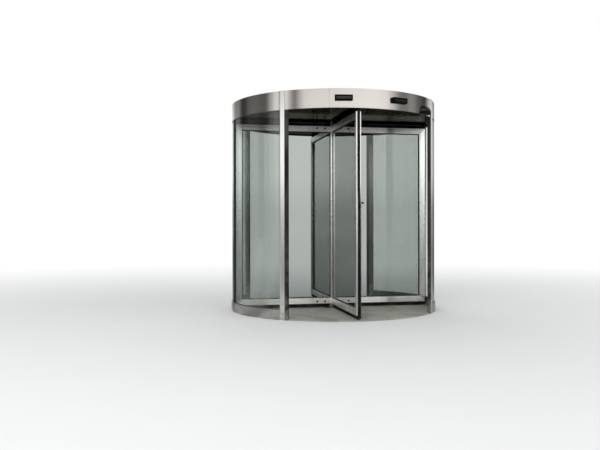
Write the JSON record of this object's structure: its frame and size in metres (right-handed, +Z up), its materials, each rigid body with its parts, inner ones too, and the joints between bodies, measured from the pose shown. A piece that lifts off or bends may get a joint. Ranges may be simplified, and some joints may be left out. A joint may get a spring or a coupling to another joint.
{
  "type": "four-wing revolving door",
  "caption": "Revolving entrance door: glazed wings turn on a centre column inside round glass walls under a drum-shaped steel canopy.",
  "frame": {"origin": "on the ground on the door's turning axis", "axes": "+Z up; the street side faces -Y; +X to the right seen from the street"},
  "size_m": [2.412, 2.4252, 2.4],
  "materials": {
    "brushed_steel": "vertically brushed stainless steel, lightly soiled",
    "canopy_steel": "brushed stainless sheet with soft vertical reflection bands",
    "wing_steel": "brushed stainless cladding, satin",
    "bearing_steel": "worn turned steel",
    "dark_aluminium": "dark anodised, satin",
    "painted_frame": "grey primer",
    "ceiling_sheet": "dark glossy sheet that mirrors the wings",
    "roof_sheet": "galvanised, dusty",
    "curved_glass": "clear, faint green",
    "wing_glass": "clear, faint green",
    "rubber": "black, matt, dusty",
    "brush": "black nylon bristle",
    "sensor_plastic": "black, satin",
    "dark_metal": "dark bronze coloured metal",
    "floor": "worn grey floor covering, dusty"
  },
  "bodies": {
    "drum": {"floor_plate": "floor", "floor_bearing": "bearing_steel", "skirting_front_right": "brushed_steel", "skirting_front_left": "brushed_steel", "skirting_rear_left": "brushed_steel", "skirting_rear_right": "brushed_steel", "curved_glass_front_right": "curved_glass", "curved_glass_front_left": "curved_glass", "curved_glass_rear_left": "curved_glass", "curved_glass_rear_right": "curved_glass", "glass_gaskets": "rubber", "post_front_right": "brushed_steel", "post_front_left": "brushed_steel", "post_rear_left": "brushed_steel", "post_rear_right": "brushed_steel", "safety_edges": "rubber", "mullion_right": "dark_aluminium", "mullion_left": "dark_aluminium", "fascia_front": "canopy_steel", "fascia_front_right": "canopy_steel", "fascia_rear_right": "canopy_steel", "fascia_rear": "canopy_steel", "fascia_rear_left": "canopy_steel", "fascia_front_left": "canopy_steel", "ceiling": "ceiling_sheet", "canopy_frame": "painted_frame", "top_bearing": "painted_frame", "roof": "roof_sheet", "front_sensors": "sensor_plastic", "rear_sensors": "sensor_plastic", "post_sensors": "sensor_plastic", "downlights": "sensor_plastic"},
    "rotor": {"centre_column": "brushed_steel", "wing_1_frame": "wing_steel", "wing_1_glass": "wing_glass", "wing_1_brushes": "brush", "wing_2_frame": "wing_steel", "wing_2_glass": "wing_glass", "wing_2_brushes": "brush", "wing_3_frame": "wing_steel", "wing_3_glass": "wing_glass", "wing_3_brushes": "brush", "wing_4_frame": "wing_steel", "wing_4_glass": "wing_glass", "wing_4_brushes": "brush", "clamp_plates": "wing_steel", "wing_1_lock": "dark_metal"}
  },
  "joints": [
    {"name": "rotor_turn", "type": "hinge", "parent": "drum", "child": "rotor", "pos_m": [0, 0, 0], "axis": [0, 0, 1], "continuous": true}
  ]
}
